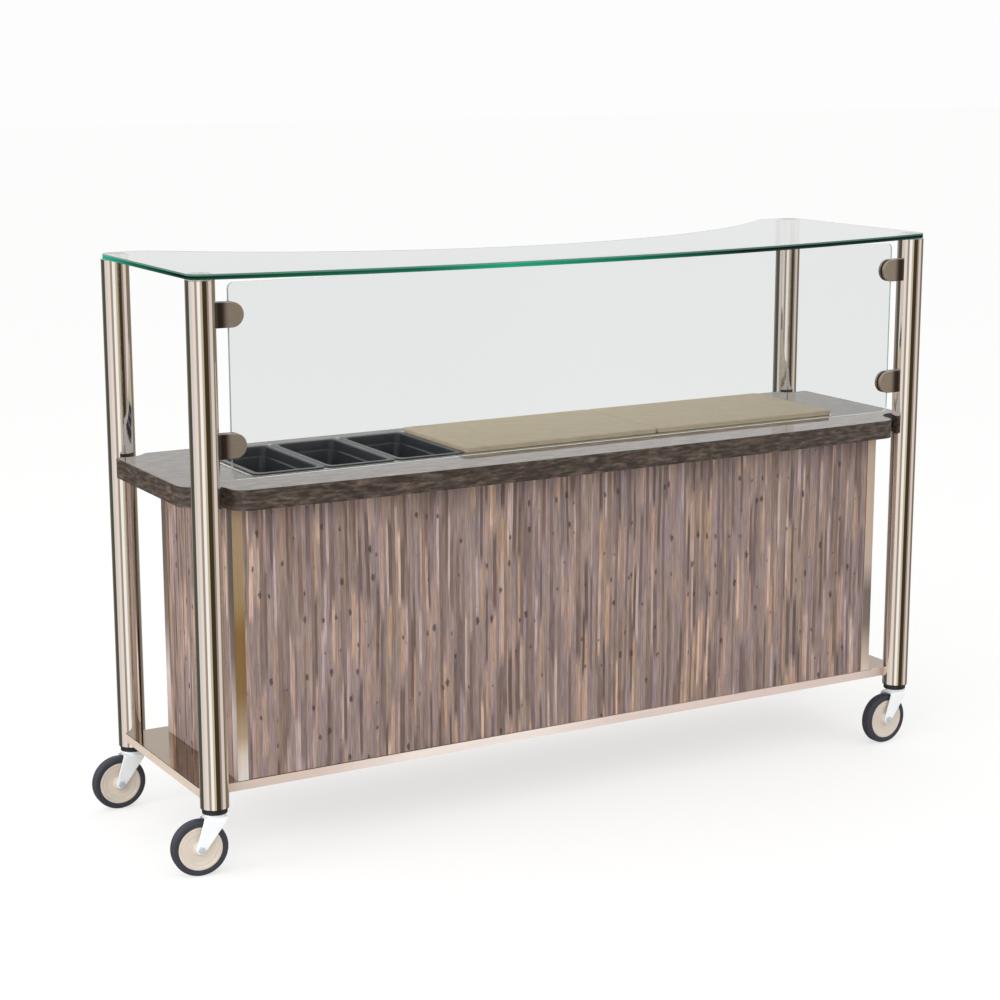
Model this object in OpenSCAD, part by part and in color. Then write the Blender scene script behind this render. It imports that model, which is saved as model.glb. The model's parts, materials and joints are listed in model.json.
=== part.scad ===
// Mobile cooking and serving cart: four round posts carry a kidney-shaped glass shelf,
// a clear guard pane, a counter with a pan well, and a panelled cabinet on a deck.
// Units are millimetres. +X is to the right along the length, -Y is the guest side, +Z is up.

/* [Posts] */
// Distance from the outer ends of the pan modules to the axes of the posts
end_room = 155; // [145:1:240]
// Distance between post centres across the depth
post_span_y = 506; // [480:2:560]
// Outside diameter of each post
post_d = 63.5; // [54:0.5:70]
// Wall of each post tube
post_wall = 2; // [1.5:0.25:3]
// Length of each post tube
post_len = 1150; // [1080:2:1280]

/* [Glass shelf] */
// Thickness of the glass shelf
glass_t = 12; // [8:1:15]
// How far the shelf edges sit inside the outer faces of the posts at the ends
glass_inset_x = 1; // [0:0.5:6]
// How far the front corners sit inside the outer faces of the front posts
glass_inset_front = 8; // [2:1:16]
// How far the back edge sits inside the outer faces of the back posts
glass_inset_back = 10; // [2:1:16]
// Forward bow of the front edge at mid length
glass_bow = 110; // [60:5:150]
// Depth of the scoop in the back edge
glass_scoop = 345; // [200:5:400]
// Distance from the ends of the scoop to the axes of the posts
glass_scoop_end = 80; // [70:5:200]
// Radius of the four outer corners
glass_corner_r = 32; // [15:1:45]
// Radius where the scoop runs into the back edge
glass_ease_r = 70; // [20:5:90]
// Bonding pad between a post cap and the shelf
pad_t = 1; // [0.6:0.1:2]
// Diameter of a bonding pad
pad_d = 50; // [30:1:52]
// Flange thickness of a post cap
cap_flange = 2; // [1:0.5:4]
// Depth of the cap plug inside the post
cap_plug = 14; // [8:1:25]

/* [Guard pane] */
// Thickness of the guard pane
pane_t = 8; // [6:1:10]
// Gap from the pane's end edges to the surface of the posts
pane_end_gap = 30; // [24:1:36]
// Gap from the counter to the pane's lower edge
pane_gap_low = 18; // [8:1:40]
// Gap from the pane's upper edge to the glass shelf
pane_gap_high = 11; // [6:1:30]
// Radius of the pane's corners
pane_corner_r = 14; // [6:1:20]

/* [Pane clamps] */
// Height of a clamp
clamp_h = 54; // [44:1:60]
// Reach of a clamp from the surface of its post
clamp_reach = 61; // [54:1:70]
// Thickness of one clamp jaw
clamp_jaw = 7.5; // [6:0.5:10]
// Chamfer round the face of a jaw
clamp_chamfer = 1.5; // [0.5:0.25:2.5]
// Gasket between a jaw and the pane
gasket_t = 1.5; // [1:0.25:2.5]
// Height of the lower clamps above the pane's lower edge
clamp_low = 75; // [40:1:120]
// Distance of the upper clamps below the pane's upper edge
clamp_high = 67; // [40:1:120]
// Diameter of a jaw screw
jaw_screw_d = 5; // [4:0.5:6]
// Diameter of the bolt that ties a clamp to its post
post_bolt_d = 8; // [6:0.5:10]

/* [Counter] */
// Thickness of the counter
counter_t = 45; // [36:1:60]
// How far the counter ends stand outside the posts
counter_proud = 2; // [0:0.5:12]
// Forward bow of the counter front at mid length
counter_bow = 22; // [10:1:60]
// Distance from the back edge of the counter to the axis of the back posts
counter_back = 24; // [18:1:36]
// Gap round a post in a corner scoop
scoop_gap = 20; // [14:1:26]
// Radius that eases a front scoop into the edges
scoop_ease_r = 38; // [20:1:45]
// Radius that eases a back scoop into the side edge
scoop_ease_side = 10; // [6:1:24]
// Radius that eases a back scoop into the back edge
scoop_ease_back = 20; // [8:1:30]
// Thickness of the edge band
band_t = 3; // [1.5:0.5:4]
// Diameter of the spacer between a post and the counter
spacer_d = 22; // [16:1:28]
// Diameter of the bolt through a spacer
spacer_bolt_d = 8; // [6:0.5:10]
// How deep a spacer bolt goes into the counter
bolt_bite = 40; // [25:1:45]

/* [Pan well] */
// Length of one pan module along the cart
module_len = 530; // [480:5:550]
// Depth of one pan module across the cart
module_dep = 325; // [300:5:340]
// Number of modules side by side
module_n = 3; // [3:1:4]
// Distance of the well from the cabinet's centre towards the operator
well_shift = 29; // [20:1:32]
// Ledge of the well under the rim of a pan
ledge = 12; // [8:1:14]
// Rim of the well that shows round the modules
well_rim = 10; // [6:1:16]
// Sheet thickness of the well
well_sheet = 1.5; // [1:0.25:2.5]
// Depth of the well
well_depth = 160; // [130:5:200]
// Radius of the well's corners
well_corner_r = 14; // [8:1:20]
// Width of a divider bar
divider_w = 22; // [16:1:23]
// Height of a divider bar
divider_h = 24; // [14:1:40]

/* [Pans and boards] */
// Depth of a pan below its rim
pan_depth = 100; // [60:5:120]
// Wall of a pan
pan_wall = 2.6; // [2:0.2:4]
// Height of the stacking shoulder under a pan's rim
pan_shoulder = 24; // [14:1:34]
// Step of the walls at the stacking shoulder
pan_step = 4; // [2:0.5:6]
// Radius of a pan's upright corners
pan_corner_r = 16; // [10:1:24]
// Gap between neighbouring rims
rim_gap = 1; // [0.6:0.2:3]
// Thickness of a cutting board above the rim of the well
board_t = 12; // [8:1:20]
// Depth of the board's lower step inside the well
board_step = 8; // [4:1:12]
// Clearance of the board's lower step in the well
board_fit = 1.5; // [1:0.5:4]
// Radius of a board's corners
board_corner_r = 10; // [5:1:16]

/* [Cabinet] */
// Height of the cabinet from the deck to the counter
cabinet_h = 620; // [560:4:680]
// Gap from the cabinet's ends to the surface of the posts
cabinet_end_gap = 36; // [20:1:60]
// How far the cabinet front sits behind the axis of the front posts
cabinet_setback = 25; // [12:1:36]
// Distance from the cabinet's back to the axis of the back posts
cabinet_back = 63; // [50:1:90]
// Thickness of the panels
panel_t = 18; // [15:1:22]
// Leg of the corner trim
trim_leg = 25; // [18:1:35]
// Thickness of the corner trim
trim_t = 1.5; // [1:0.25:2.5]
// Height of the inner shelf above the deck
shelf_z = 230; // [160:5:260]
// Thickness of the inner shelf
shelf_t = 18; // [15:1:25]
// How far the shelf stops short of the cabinet's back
shelf_back = 30; // [10:5:80]
// Side of a shelf batten
batten = 20; // [15:1:25]
// Height of the rail under the back of the counter
apron_h = 70; // [50:5:90]

/* [Deck] */
// Height of the rails' lower face above the posts' lower ends
rail_lift = 15.5; // [12:0.5:50]
// Side of a deck rail
rail_s = 20; // [16:1:30]
// Wall of a deck rail
rail_wall = 1.5; // [1:0.25:2.5]
// How far the end rails stand outside the axis of the posts
rail_out = 25; // [18:1:28]
// Thickness of the deck sheet
deck_t = 1.5; // [1:0.25:3]

/* [Casters] */
// Diameter of a wheel
wheel_d = 127; // [100:1:140]
// Width of a wheel's tread
wheel_w = 28; // [24:1:36]
// Thickness of the tyre
tyre_t = 14; // [8:0.5:18]
// Radius of the tyre's shoulders
tyre_shoulder = 4; // [2:0.5:6]
// Distance of the axle from the swivel axis
trail = 37; // [28:1:42]
// Length of the wheel hub along the axle
hub_len = 34; // [32:1:42]
// Diameter of the axle
axle_d = 10; // [8:0.5:12]
// Length of the axle's thread outside the fork
axle_tail = 8; // [7:0.5:12]
// Radius of the fork's end round the axle
fork_end_r = 11; // [9:0.5:14]
// Sheet thickness of the fork
fork_t = 3; // [2:0.5:4]
// Gap between the hub and a fork leg
fork_gap = 0.75; // [0.5:0.25:2]
// Gap between the top of the wheel and the fork crown
crown_gap = 4; // [3.5:0.5:12]
// Diameter of the swivel race
race_d = 46; // [40:1:50]
// Height of the swivel race
race_h = 6; // [5:0.5:14]
// Diameter of the king pin
king_d = 12; // [10:0.5:14]
// Height of the collar under a post
collar_h = 13; // [5:0.5:16]
// Diameter of the collar
collar_d = 56; // [50:1:60]
// Length of the plug that holds a caster in its post
plug_len = 50; // [35:1:70]
// Direction in which the front left wheel trails, in degrees
trail_front_left = 172; // [120:1:180]
// Direction in which the back left wheel trails, in degrees
trail_back_left = 178; // [120:1:180]
// Direction in which the front right wheel trails, in degrees
trail_front_right = 184; // [180:1:240]
// Direction in which the back right wheel trails, in degrees
trail_back_right = 16; // [0:1:60]

/* [Fits] */
// Gap between parts that are welded, glued or bolted together
seat = 0.2; // [0.1:0.05:0.4]
// Radial clearance of a running fit
running = 0.06; // [0.03:0.01:0.1]
// Face clearance between parts that turn against each other
face_gap = 0.3; // [0.2:0.05:0.5]
// Radial clearance of a bolt in its hole
hole_gap = 0.3; // [0.2:0.1:0.6]

/* [Hidden] */
$fn = 96;
arc_fn = 720;
post_r = post_d / 2;
px = module_n * module_len / 2 + end_room;
py = post_span_y / 2;
wheel_r = wheel_d / 2;
hub_r = wheel_r - tyre_t;
leg_in = hub_len / 2 + fork_gap;
crown_z = wheel_d + crown_gap;
race_z = crown_z + fork_t;
collar_z = race_z + race_h + face_gap;
post_z = collar_z + collar_h;
post_top = post_z + post_len;
shelf_glass_z = post_top + cap_flange + pad_t;
rail_z = post_z + rail_lift;
deck_z = rail_z + rail_s;
deck_top = deck_z + deck_t;
counter_z = deck_top + cabinet_h;
counter_top = counter_z + counter_t;

// Glass shelf outline
gx = px + post_r - glass_inset_x;
gy_front = -(py + post_r - glass_inset_front);
gy_back = py + post_r - glass_inset_back;
bow_r = (gx * gx + glass_bow * glass_bow) / (2 * glass_bow);
bow_y = gy_front - glass_bow + bow_r;
hollow_half = px - glass_scoop_end;
hollow_r = (hollow_half * hollow_half + glass_scoop * glass_scoop) / (2 * glass_scoop);
hollow_y = gy_back - glass_scoop + hollow_r;

// How far a caster reaches from its post at an angle a from its trail
axle_reach = leg_in + fork_t + axle_tail;
function reach(a) = trail * cos(a)
    + max((wheel_r - tyre_shoulder) * abs(cos(a)) + (wheel_w / 2 - tyre_shoulder) * abs(sin(a)) + tyre_shoulder,
          axle_reach * abs(sin(a)) + axle_d / 2 * abs(cos(a)));
reach_left = max(reach(180 - trail_front_left), reach(180 - trail_back_left));
reach_right = max(reach(trail_front_right), reach(trail_back_right));
reach_back = max(reach(90 - trail_back_left), reach(90 - trail_back_right), post_r);

// Middle of the whole cart, casters included, which the frame is centred on
frame_x = (reach_left - reach_right) / 2;
frame_y = (-gy_front + glass_bow - py - reach_back) / 2;

// Guard pane
pane_x = px - post_r - pane_end_gap;
pane_z = counter_top + pane_gap_low;
pane_top = shelf_glass_z - pane_gap_high;
clamp_z_low = pane_z + clamp_low;
clamp_z_high = pane_top - clamp_high;
slot_half = pane_t / 2 + gasket_t;
clamp_half = slot_half + clamp_jaw;
clamp_r = clamp_h / 2;
clamp_end = post_r + clamp_reach - clamp_r;
jaw_screw_x = post_r + pane_end_gap - 2 * jaw_screw_d;
spine_x = post_r + pane_end_gap - 2;
head_h = jaw_screw_d / 2;

// Counter outline
cx = px + post_r + counter_proud;
cy_front = -(py + post_r);
cy_back = py - counter_back;
scoop_r = post_r + scoop_gap;
cbow_r = (cx * cx + counter_bow * counter_bow) / (2 * counter_bow);
cbow_y = cy_front - counter_bow + cbow_r;

// Cabinet
cab_x = px - post_r - cabinet_end_gap;
cab_front = -py + cabinet_setback;
cab_back = py - cabinet_back;
cab_in = cab_x - trim_t - panel_t;
face_front = cab_front + trim_t;

// Well
well_y = (cab_front + cab_back) / 2 + well_shift;
well_len = module_n * module_len;
rim_top = counter_top + well_sheet;

// Deck
rail_x = px + rail_out;
rail_y = py - rail_out;

// Point where two circles meet, on the left (+1) or right (-1) of the line from a to b
function meet(a, ar, b, br, side) =
    let (d = norm(b - a), u = (b - a) / d, m = (ar * ar - br * br + d * d) / (2 * d))
    a + m * u + side * sqrt(ar * ar - m * m) * [-u[1], u[0]];

// Point at distance r from c in the direction of p
function towards(c, p, r) = c + r * (p - c) / norm(p - c);

// Point where a line from p touches a circle
function touch(p, c, r, side) =
    let (d = norm(c - p), a = side * asin(r / d), l = sqrt(d * d - r * r), u = (c - p) / d)
    p + l * [u[0] * cos(a) - u[1] * sin(a), u[0] * sin(a) + u[1] * cos(a)];

module in_frame() {
    translate([frame_x, frame_y, 0]) children();
}

module at_posts() {
    for (sx = [-1, 1])
        for (sy = [-1, 1])
            translate([sx * px, sy * py, 0]) children();
}

module tube(r, wall, h) {
    difference() {
        cylinder(h = h, r = r);
        translate([0, 0, -1]) cylinder(h = h + 2, r = r - wall);
    }
}

// Hex nut on a bolt along +z, bedded on the inside of a post whose axis is x
function nut_face(d) = post_r - post_wall - 0.8 * d;
module nut_in_post(d) {
    intersection() {
        translate([0, 0, nut_face(d)]) cylinder(h = d, d = 1.7 * d, $fn = 6);
        rotate([0, 90, 0]) cylinder(h = 4 * d, r = post_r - post_wall - seat, center = true);
    }
}

module round_rect(w, d, r) {
    square([w, d - 2 * r], center = true);
    square([w - 2 * r, d], center = true);
    for (sx = [-1, 1])
        for (sy = [-1, 1])
            translate([sx * (w / 2 - r), sy * (d / 2 - r)]) circle(r = r);
}

// What a rounding circle leaves to be cut off a corner
module corner_waste(c, r, outline) {
    difference() {
        polygon(concat([c], outline));
        translate(c) circle(r = r);
    }
}

// Posts

module post(sx, sy) {
    color("#c9bfb4")
    in_frame()
    translate([sx * px, sy * py, 0])
    difference() {
        translate([0, 0, post_z]) tube(post_r, post_wall, post_len);
        translate([0, 0, counter_z + counter_t / 2])
            rotate([0, 90, atan2(-sy, -sx)]) cylinder(h = post_r + 1, d = spacer_bolt_d + 2 * hole_gap);
        if (sy < 0)
            for (z = [clamp_z_low, clamp_z_high])
                translate([0, 0, z])
                rotate([0, -sx * 90, 0]) cylinder(h = post_r + 1, d = post_bolt_d + 2 * hole_gap);
    }
}

module post_caps() {
    color("#b9b2aa")
    in_frame()
    at_posts()
    translate([0, 0, post_top]) {
        cylinder(h = cap_flange, r = post_r);
        translate([0, 0, -cap_plug]) cylinder(h = cap_plug, r = post_r - post_wall - seat);
    }
}

module bonding_pads() {
    color("#dfe8e4")
    in_frame()
    at_posts()
    translate([0, 0, post_top + cap_flange]) cylinder(h = pad_t, d = pad_d);
}

// Glass shelf

module glass_front_corner() {
    b = [0, bow_y];
    c = [-gx + glass_corner_r, bow_y - sqrt(pow(bow_r - glass_corner_r, 2) - pow(gx - glass_corner_r, 2))];
    tip_y = bow_y - sqrt(bow_r * bow_r - gx * gx);
    corner_waste(c, glass_corner_r,
        [[-gx - 1, c[1]], [-gx - 1, tip_y - 2], towards(b, c, bow_r + 2)]);
}

module glass_back_corner() {
    c = [-gx + glass_corner_r, gy_back - glass_corner_r];
    corner_waste(c, glass_corner_r, [[c[0], gy_back + 1], [-gx - 1, gy_back + 1], [-gx - 1, c[1]]]);
}

module glass_ease() {
    k = [0, hollow_y];
    c = [-sqrt(pow(hollow_r + glass_ease_r, 2) - pow(hollow_y - gy_back + glass_ease_r, 2)), gy_back - glass_ease_r];
    tip_x = -sqrt(hollow_r * hollow_r - pow(hollow_y - gy_back, 2));
    corner_waste(c, glass_ease_r,
        [towards(k, c, hollow_r - 1), [tip_x + 3, gy_back + 1], [c[0], gy_back + 1]]);
}

module glass_outline() {
    difference() {
        intersection() {
            translate([0, bow_y]) circle(r = bow_r, $fn = arc_fn);
            translate([-gx, gy_front - glass_bow - 1]) square([2 * gx, gy_back - gy_front + glass_bow + 1]);
        }
        translate([0, hollow_y]) circle(r = hollow_r, $fn = arc_fn);
        for (m = [0, 1])
            mirror([m, 0]) {
                glass_front_corner();
                glass_back_corner();
                glass_ease();
            }
    }
}

module glass_shelf() {
    color("#bfe3d8", 0.5)
    in_frame()
    translate([0, 0, shelf_glass_z]) linear_extrude(glass_t) glass_outline();
}

// Guard pane and its clamps

module guard_pane() {
    color("#dfe9e8", 0.5)
    in_frame()
    translate([0, -py, (pane_z + pane_top) / 2])
        rotate([90, 0, 0])
        translate([0, 0, -pane_t / 2])
        linear_extrude(pane_t) round_rect(2 * pane_x, pane_top - pane_z, pane_corner_r);
}

// D-shaped jaw, flat back on z = 0, running along +x from the post axis
module jaw(x0, t) {
    c = clamp_chamfer;
    translate([clamp_end, 0, 0]) cylinder(h = t - c, r = clamp_r);
    translate([clamp_end, 0, t - c]) cylinder(h = c, r1 = clamp_r, r2 = clamp_r - c);
    translate([x0, 0, 0])
        rotate([90, 0, 90])
        linear_extrude(clamp_end - x0)
        polygon([[-clamp_r, 0], [clamp_r, 0], [clamp_r, t - c], [clamp_r - c, t], [-clamp_r + c, t], [-clamp_r, t - c]]);
}

module at_clamps(only_x = 0, only_z = 0) {
    for (sx = [-1, 1])
        for (sz = [-1, 1])
            if ((only_x == 0 || only_x == sx) && (only_z == 0 || only_z == sz))
                translate([sx * px, -py, sz < 0 ? clamp_z_low : clamp_z_high])
                mirror([sx > 0 ? 1 : 0, 0, 0]) children();
}

module jaw_screw_places() {
    for (z = [-1, 1])
        translate([jaw_screw_x, 0, z * clamp_r / 2]) rotate([90, 0, 0]) children();
}

// Room for the head of the bolt that ties a clamp to its post
module bolt_pocket() {
    translate([spine_x - post_bolt_d, 0, 0])
        rotate([0, 90, 0]) cylinder(h = post_bolt_d + 1, d = 1.6 * post_bolt_d + 2 * hole_gap);
}

module clamp(sx, sz) {
    color("#8a7d74")
    in_frame()
    at_clamps(sx, sz)
    difference() {
        union() {
            translate([0, slot_half, 0]) rotate([-90, 0, 0]) jaw(0, clamp_jaw);
            translate([0, -slot_half, -clamp_r]) cube([spine_x, 2 * slot_half, clamp_h]);
        }
        cylinder(h = clamp_h + 2, r = post_r + seat, center = true);
        jaw_screw_places() {
            cylinder(h = 2 * clamp_half, d = jaw_screw_d + 2 * hole_gap, center = true);
            translate([0, 0, -clamp_half - 1]) cylinder(h = head_h + 1 + 2 * seat, d = 2 * jaw_screw_d + 2 * hole_gap);
        }
        rotate([0, 90, 0]) cylinder(h = 2 * clamp_reach, d = post_bolt_d + 2 * hole_gap);
        bolt_pocket();
    }
}

module clamp_covers() {
    color("#94877d")
    in_frame()
    at_clamps()
    difference() {
        translate([0, -slot_half - seat, 0]) rotate([90, 0, 0]) jaw(0, clamp_jaw);
        cylinder(h = clamp_h + 2, r = post_r + seat, center = true);
        jaw_screw_places() translate([0, 0, slot_half - 1]) cylinder(h = clamp_jaw / 2 + 1, d = jaw_screw_d + 2 * running);
        bolt_pocket();
    }
}

module clamp_gaskets() {
    color("#2b2a2a")
    in_frame()
    at_clamps()
    for (s = [-1, 1])
        translate([0, s * (pane_t / 2 + gasket_t / 2), 0])
        rotate([90, 0, 0])
        translate([0, 0, -(gasket_t - seat) / 2])
        linear_extrude(gasket_t - seat)
        intersection() {
            translate([clamp_end, 0]) circle(r = clamp_r - 1.5);
            translate([post_r + pane_end_gap + 1, -clamp_r]) square([clamp_reach, clamp_h]);
        }
}

module clamp_screws() {
    color("#77706a")
    in_frame()
    at_clamps()
    jaw_screw_places() {
        translate([0, 0, -clamp_half + head_h]) cylinder(h = clamp_half - head_h + slot_half + clamp_jaw / 2 - 1, d = jaw_screw_d);
        translate([0, 0, -clamp_half + seat])
            difference() {
                cylinder(h = head_h, d = 2 * jaw_screw_d);
                translate([0, 0, -1]) cylinder(h = head_h / 2 + 1, d = 0.9 * jaw_screw_d, $fn = 6);
            }
    }
}

module clamp_bolts() {
    color("#77706a")
    in_frame()
    at_clamps()
    rotate([0, 90, 0]) {
        nut_in_post(post_bolt_d);
        translate([0, 0, nut_face(post_bolt_d)]) cylinder(h = pane_end_gap + post_wall, d = post_bolt_d);
        translate([0, 0, spine_x - post_bolt_d + seat]) cylinder(h = post_bolt_d - 1, d = 1.6 * post_bolt_d);
    }
}

// Counter

module counter_side_tip(sy, y_post, ease, e) {
    p = [-px, y_post];
    rs = scoop_r + e;
    rr = ease - e;
    edge = -cx + e;
    c = [edge + rr, y_post - sy * sqrt(pow(rs + rr, 2) - pow(edge + rr + px, 2))];
    tip_y = y_post - sy * sqrt(rs * rs - pow(edge + px, 2));
    corner_waste(c, rr, [[edge - 1, c[1]], [edge - 1, tip_y + sy], towards(p, c, rs - 1)]);
}

module counter_back_tip(e) {
    p = [-px, py];
    rs = scoop_r + e;
    rr = scoop_ease_back - e;
    edge = cy_back - e;
    c = [-px + sqrt(pow(rs + rr, 2) - pow(py - edge + rr, 2)), edge - rr];
    tip_x = -px + sqrt(rs * rs - pow(py - edge, 2));
    corner_waste(c, rr, [[c[0], edge + 1], [tip_x - 1, edge + 1], towards(p, c, rs - 1)]);
}

module counter_front_tip(e) {
    p = [-px, -py];
    b = [0, cbow_y];
    rs = scoop_r + e;
    rr = scoop_ease_r - e;
    rb = cbow_r - e;
    c = meet(b, rb - rr, p, rs + rr, 1);
    tip = meet(b, rb, p, rs, 1);
    corner_waste(c, rr, [towards(b, c, rb + 1), towards(b, tip, rb + 1) + [-1, 0], towards(p, c, rs - 1)]);
}

// Outline of the counter, drawn in by e all round
module counter_outline(e = 0) {
    difference() {
        intersection() {
            translate([0, cbow_y]) circle(r = cbow_r - e, $fn = arc_fn);
            translate([-cx + e, cy_front - counter_bow])
                square([2 * (cx - e), cy_back - e - cy_front + counter_bow]);
        }
        for (m = [0, 1])
            mirror([m, 0]) {
                for (sy = [-1, 1])
                    translate([-px, sy * py]) circle(r = scoop_r + e);
                counter_side_tip(-1, -py, scoop_ease_r, e);
                counter_side_tip(1, py, scoop_ease_side, e);
                counter_back_tip(e);
                counter_front_tip(e);
            }
    }
}

// Outline of the well's inside, drawn out by e all round
module well_outline(e = 0) {
    translate([0, well_y])
        round_rect(well_len - 2 * ledge + 2 * e, module_dep - 2 * ledge + 2 * e, well_corner_r + e);
}

module at_spacers() {
    for (sx = [-1, 1])
        for (sy = [-1, 1])
            translate([sx * px, sy * py, counter_z + counter_t / 2])
            rotate([0, 90, atan2(-sy, -sx)]) children();
}

module countertop() {
    color("#5a4d47")
    in_frame()
    difference() {
        translate([0, 0, counter_z]) linear_extrude(counter_t) difference() {
            counter_outline(band_t);
            well_outline(well_sheet + seat);
        }
        at_spacers() cylinder(h = scoop_r + bolt_bite, d = spacer_bolt_d + 2 * running);
    }
}

module counter_edge_band() {
    color("#4f4038")
    in_frame()
    difference() {
        translate([0, 0, counter_z]) linear_extrude(counter_t) difference() {
            counter_outline(0);
            counter_outline(band_t);
        }
        at_spacers() cylinder(h = scoop_r + bolt_bite, d = spacer_bolt_d + 2 * hole_gap);
    }
}

module counter_spacers() {
    color("#1d1d1d")
    in_frame()
    for (sx = [-1, 1])
        for (sy = [-1, 1])
            translate([sx * px, sy * py, counter_z + counter_t / 2])
            difference() {
                intersection() {
                    rotate([0, 90, atan2(-sy, -sx)]) cylinder(h = scoop_r + 1, d = spacer_d);
                    cylinder(h = 2 * spacer_d, r = scoop_r - seat, center = true);
                }
                cylinder(h = 2 * spacer_d, r = post_r + seat, center = true);
                rotate([0, 90, atan2(-sy, -sx)]) cylinder(h = scoop_r + 2, d = spacer_bolt_d + 2 * hole_gap);
            }
}

module counter_bolts() {
    color("#77706a")
    in_frame()
    at_spacers() {
        nut_in_post(spacer_bolt_d);
        translate([0, 0, nut_face(spacer_bolt_d)]) cylinder(h = scoop_r + bolt_bite - 2 - nut_face(spacer_bolt_d), d = spacer_bolt_d);
    }
}

// Pan well, pans and boards

module pan_well() {
    color("#c4c2bd")
    in_frame()
    difference() {
        union() {
            translate([0, 0, counter_top]) linear_extrude(well_sheet) well_outline(ledge + well_rim);
            translate([0, 0, rim_top - well_depth]) linear_extrude(well_depth - well_sheet / 2) well_outline(well_sheet);
        }
        translate([0, 0, rim_top - well_depth + well_sheet]) linear_extrude(well_depth) well_outline();
    }
}

module well_dividers() {
    color("#b8b5af")
    in_frame()
    for (i = [1 : module_n - 1])
        translate([(i - module_n / 2) * module_len, well_y, rim_top])
        rotate([90, 0, 0])
        translate([0, 0, -(module_dep / 2 - ledge - seat)])
        linear_extrude(module_dep - 2 * ledge - 2 * seat)
        polygon([[-divider_w / 2, 0], [divider_w / 2, 0], [divider_w / 2, -well_sheet], [well_sheet, -well_sheet],
                 [well_sheet, -divider_h], [-well_sheet, -divider_h], [-well_sheet, -well_sheet], [-divider_w / 2, -well_sheet]]);
}

module pan(i) {
    rim_w = module_len / 3 - rim_gap;
    rim_d = module_dep - rim_gap;
    w = rim_w - 2 * ledge;
    d = rim_d - 2 * ledge;
    low_w = w - 2 * pan_step;
    low_d = d - 2 * pan_step;
    in_r = pan_corner_r - pan_wall;
    color("#23262a")
    in_frame()
    translate([-module_n / 2 * module_len + (i + 0.5) * module_len / 3, well_y, rim_top + seat])
    difference() {
        union() {
            linear_extrude(pan_wall) round_rect(rim_w, rim_d, pan_corner_r);
            translate([0, 0, -pan_shoulder]) linear_extrude(pan_shoulder + pan_wall / 2) round_rect(w, d, pan_corner_r);
            translate([0, 0, -pan_depth]) linear_extrude(pan_depth - pan_shoulder + pan_wall / 2) round_rect(low_w, low_d, pan_corner_r);
        }
        translate([0, 0, pan_wall - pan_shoulder])
            linear_extrude(pan_shoulder + 1) round_rect(w - 2 * pan_wall, d - 2 * pan_wall, in_r);
        translate([0, 0, pan_wall - pan_depth])
            linear_extrude(pan_depth + 1) round_rect(low_w - 2 * pan_wall, low_d - 2 * pan_wall, in_r);
    }
}

module cutting_board(i) {
    color("#b9a88c")
    in_frame()
    translate([(i - (module_n - 1) / 2) * module_len, well_y, rim_top + seat]) {
        linear_extrude(board_t) round_rect(module_len - rim_gap, module_dep - rim_gap, board_corner_r);
        translate([0, 0, -board_step])
            linear_extrude(board_step)
            round_rect(module_len - 2 * ledge - 2 * board_fit, module_dep - 2 * ledge - 2 * board_fit, board_corner_r);
    }
}

// Cabinet

module board(x0, x1, y0, y1, z0, z1) {
    translate([x0, y0, z0]) cube([x1 - x0, y1 - y0, z1 - z0]);
}

module front_panel() {
    color("#8c7d78")
    in_frame()
    board(-cab_x + trim_t, cab_x - trim_t, face_front, face_front + panel_t, deck_top, counter_z);
}

module end_panel(sx) {
    color("#8c7d78")
    in_frame()
    mirror([sx < 0 ? 0 : 1, 0, 0])
    board(-cab_x + trim_t, -cab_in, face_front + panel_t, cab_back - trim_t, deck_top, counter_z);
}

module corner_trim(sx, sy) {
    y = sy < 0 ? cab_front : cab_back;
    color("#c2b49c")
    in_frame()
    mirror([sx < 0 ? 0 : 1, 0, 0])
    translate([-cab_x, y, deck_top])
    mirror([0, sy < 0 ? 0 : 1, 0]) {
        cube([trim_t, trim_leg, cabinet_h]);
        cube([sy < 0 ? trim_leg : trim_t + panel_t, trim_t, cabinet_h]);
    }
}

module inner_shelf() {
    color("#8f867c")
    in_frame()
    board(-cab_in, cab_in, face_front + panel_t, cab_back - shelf_back, deck_top + shelf_z, deck_top + shelf_z + shelf_t);
}

module shelf_battens() {
    color("#a39a90")
    in_frame() {
        for (m = [0, 1])
            mirror([m, 0, 0])
            board(-cab_in, -cab_in + batten, face_front + panel_t + batten, cab_back - shelf_back, deck_top + shelf_z - batten, deck_top + shelf_z);
        board(-cab_in, cab_in, face_front + panel_t, face_front + panel_t + batten, deck_top + shelf_z - batten, deck_top + shelf_z);
    }
}

module shelf_support() {
    color("#8f867c")
    in_frame()
    board(-shelf_t / 2, shelf_t / 2, face_front + panel_t + batten, cab_back - shelf_back, deck_top, deck_top + shelf_z);
}

module back_apron() {
    color("#8c7d78")
    in_frame()
    board(-cab_in, cab_in, cab_back - trim_t - panel_t, cab_back - trim_t, counter_z - apron_h, counter_z);
}

// Deck

module rail_bar(len) {
    difference() {
        cube([len, rail_s, rail_s]);
        translate([-1, rail_wall, rail_wall]) cube([len + 2, rail_s - 2 * rail_wall, rail_s - 2 * rail_wall]);
    }
}

module post_cuts(z0, h) {
    at_posts() translate([0, 0, z0]) cylinder(h = h, r = post_r + seat);
}

module rail_long(sy) {
    color("#c8b9b4")
    in_frame()
    difference() {
        mirror([0, sy < 0 ? 0 : 1, 0])
            translate([-rail_x + rail_s + seat, -rail_y, rail_z]) rail_bar(2 * (rail_x - rail_s - seat));
        post_cuts(rail_z - 1, rail_s + 2);
    }
}

module rail_end(sx) {
    color("#c8b9b4")
    in_frame()
    difference() {
        mirror([sx < 0 ? 0 : 1, 0, 0])
            translate([-rail_x + rail_s, -rail_y, rail_z]) rotate([0, 0, 90]) rail_bar(2 * rail_y);
        post_cuts(rail_z - 1, rail_s + 2);
    }
}

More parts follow.
